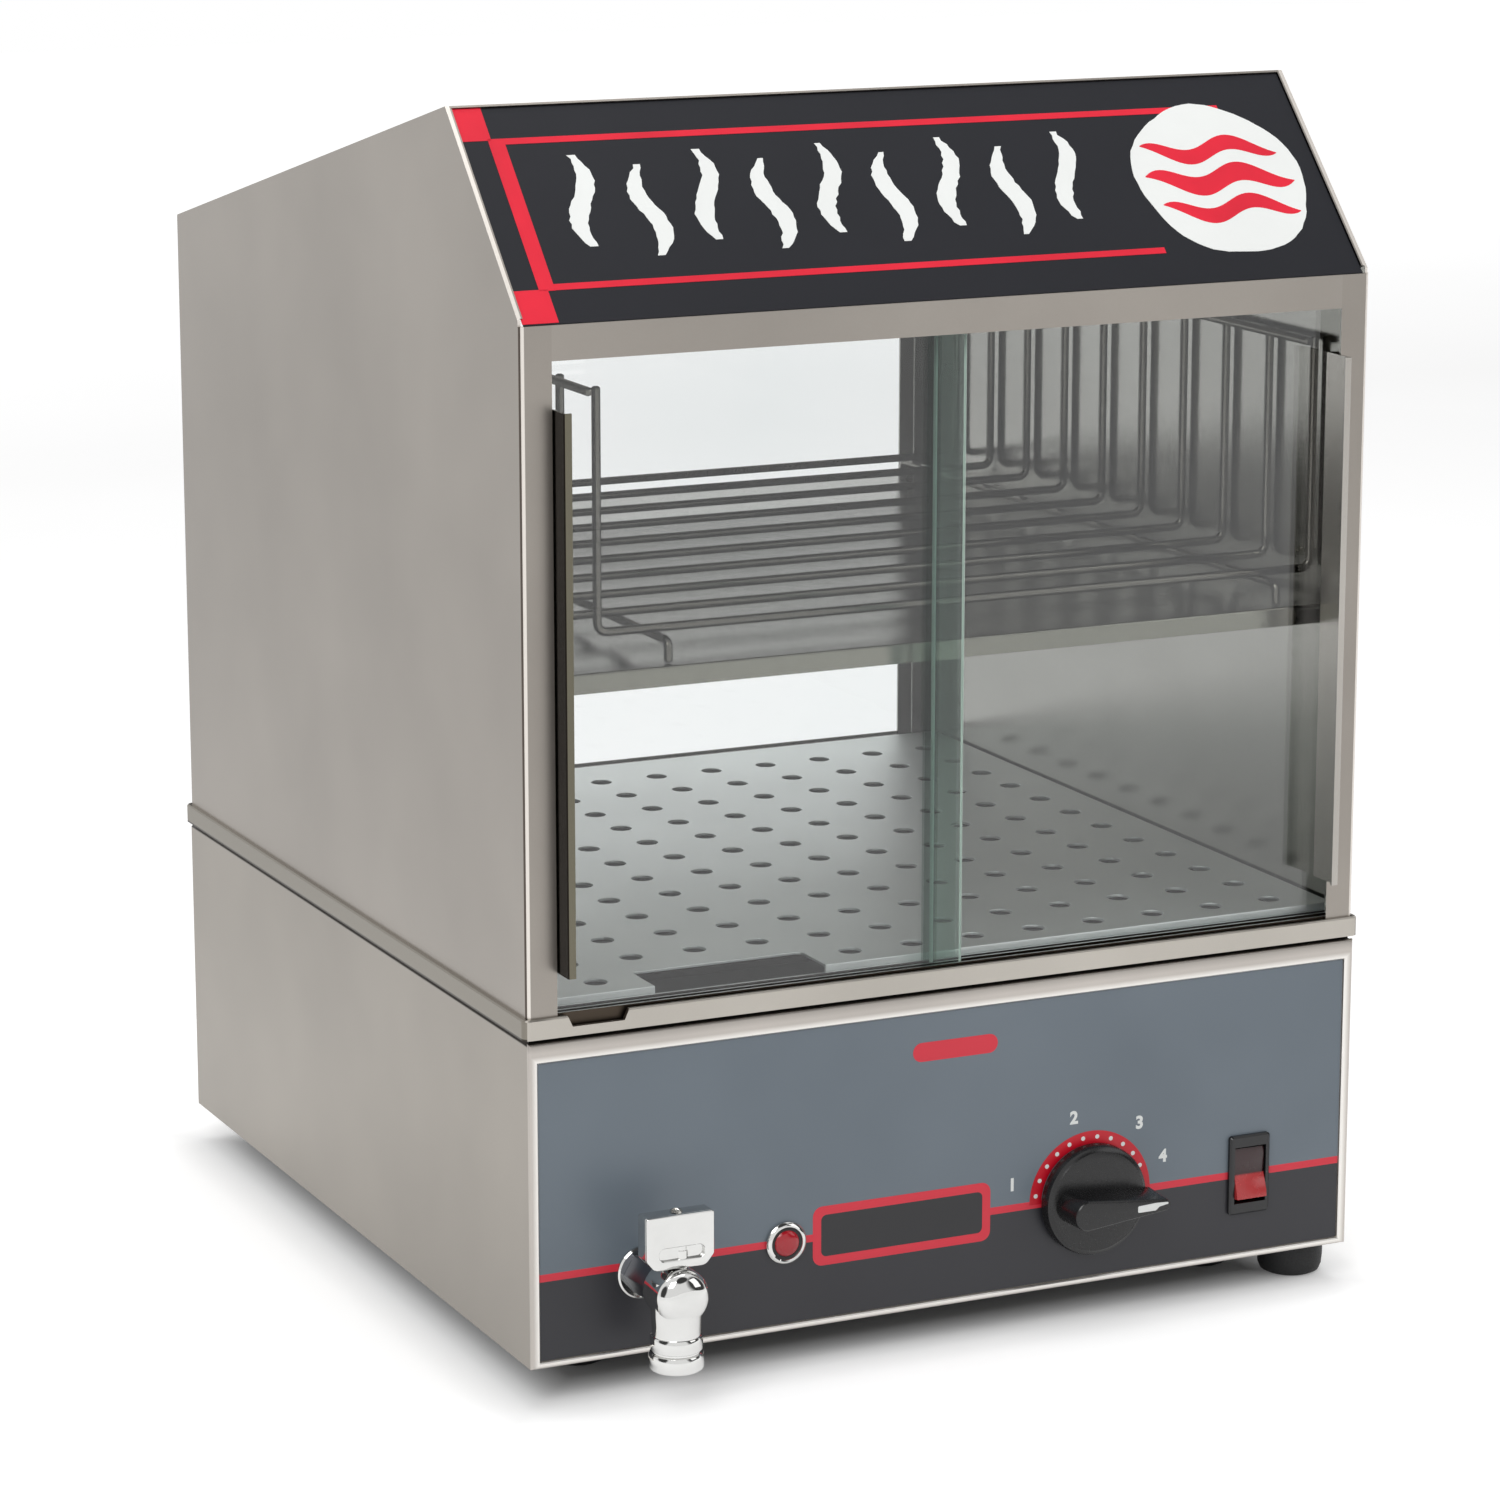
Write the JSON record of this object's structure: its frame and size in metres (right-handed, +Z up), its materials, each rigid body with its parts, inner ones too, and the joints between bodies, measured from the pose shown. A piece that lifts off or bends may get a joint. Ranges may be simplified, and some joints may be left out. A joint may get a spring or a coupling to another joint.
{
  "type": "hot dog steamer",
  "caption": "Countertop steamer: stainless base with water pan, dial and drain tap, and a glass-fronted hood with sliding doors, bun rack and perforated tray.",
  "frame": {"origin": "on the floor under the middle of the whole object", "axes": "+Z up, the front with the doors and controls looks along -Y, +X to the viewer's right"},
  "size_m": [0.379, 0.4494, 0.5076],
  "materials": {
    "stainless": "satin brushed",
    "pan_steel": "drawn, satin",
    "zinc": "zinc plated",
    "chrome": "bright plated",
    "wire": "bright wire",
    "rubber": "matte",
    "element": "heat-darkened sheath",
    "label": "printed film",
    "sign": "satin printed plate",
    "black_plastic": "fine texture",
    "red_lens": "translucent",
    "red_rocker": "translucent",
    "glass": "clear float glass, green edges"
  },
  "bodies": {
    "base": {"base_shell": "stainless", "base_top_frame": "stainless", "front_frame": "stainless", "control_label": "label", "base_rear_panel": "stainless", "bottom_plate": "stainless", "foot_front_left": "rubber", "foot_front_right": "rubber", "foot_rear_left": "rubber", "foot_rear_right": "rubber", "foot_corner": "rubber", "water_pan": "pan_steel", "pan_bottom": "pan_steel", "pan_flange": "pan_steel", "heating_element": "element", "drain_pipe": "zinc", "tap_neck": "chrome", "tap_body": "chrome", "spout_collar": "chrome", "thermostat_body": "black_plastic", "switch_housing": "black_plastic", "lamp_bezel": "chrome", "lamp_lens": "red_lens", "cord_gland": "black_plastic"},
    "tap_lever": {"tap_stem": "chrome", "tap_handle": "chrome"},
    "dial": {"dial_knob": "black_plastic", "thermostat_shaft": "zinc"},
    "rocker": {"switch_rocker": "red_rocker"},
    "tray": {"perforated_tray": "stainless"},
    "hood": {"hood_band": "stainless", "left_side_panel": "stainless", "right_side_panel": "stainless", "header": "stainless", "top_track": "stainless", "bottom_track": "stainless", "roof_panel": "stainless", "sign_panel": "sign", "rear_frame": "stainless", "rear_glass": "glass", "left_shelf_rail": "stainless", "right_shelf_rail": "stainless", "bun_shelf": "stainless"},
    "left_door": {"left_door_glass": "glass", "left_door_handle": "stainless"},
    "right_door": {"right_door_glass": "glass", "right_door_handle": "stainless"},
    "rack": {"bun_rack_wires": "wire", "bun_rack_rails": "wire"}
  },
  "joints": [
    {"name": "hood_lift", "type": "slide", "parent": "base", "child": "hood", "axis": [0, 0, 1], "range_m": [0, 0.15]},
    {"name": "tray_lift", "type": "slide", "parent": "base", "child": "tray", "axis": [0, 0, 1], "range_m": [0, 0.1]},
    {"name": "rack_lift", "type": "slide", "parent": "hood", "child": "rack", "axis": [0, 0, 1], "range_m": [0, 0.03]},
    {"name": "left_door_slide", "type": "slide", "parent": "hood", "child": "left_door", "axis": [1, 0, 0], "range_m": [0, 0.165]},
    {"name": "right_door_slide", "type": "slide", "parent": "hood", "child": "right_door", "axis": [1, 0, 0], "range_m": [-0.165, 0]},
    {"name": "dial_turn", "type": "hinge", "parent": "base", "child": "dial", "pos_m": [0.0635, -0.18325, 0.0542], "axis": [0, -1, 0], "range_deg": [0, 180]},
    {"name": "rocker_tilt", "type": "hinge", "parent": "base", "child": "rocker", "pos_m": [0.1391, -0.18125, 0.0542], "axis": [1, 0, 0], "range_deg": [0, 18]},
    {"name": "tap_turn", "type": "hinge", "parent": "base", "child": "tap_lever", "pos_m": [-0.136, -0.21375, 0.067], "axis": [0, 0, 1], "range_deg": [0, 90]}
  ]
}
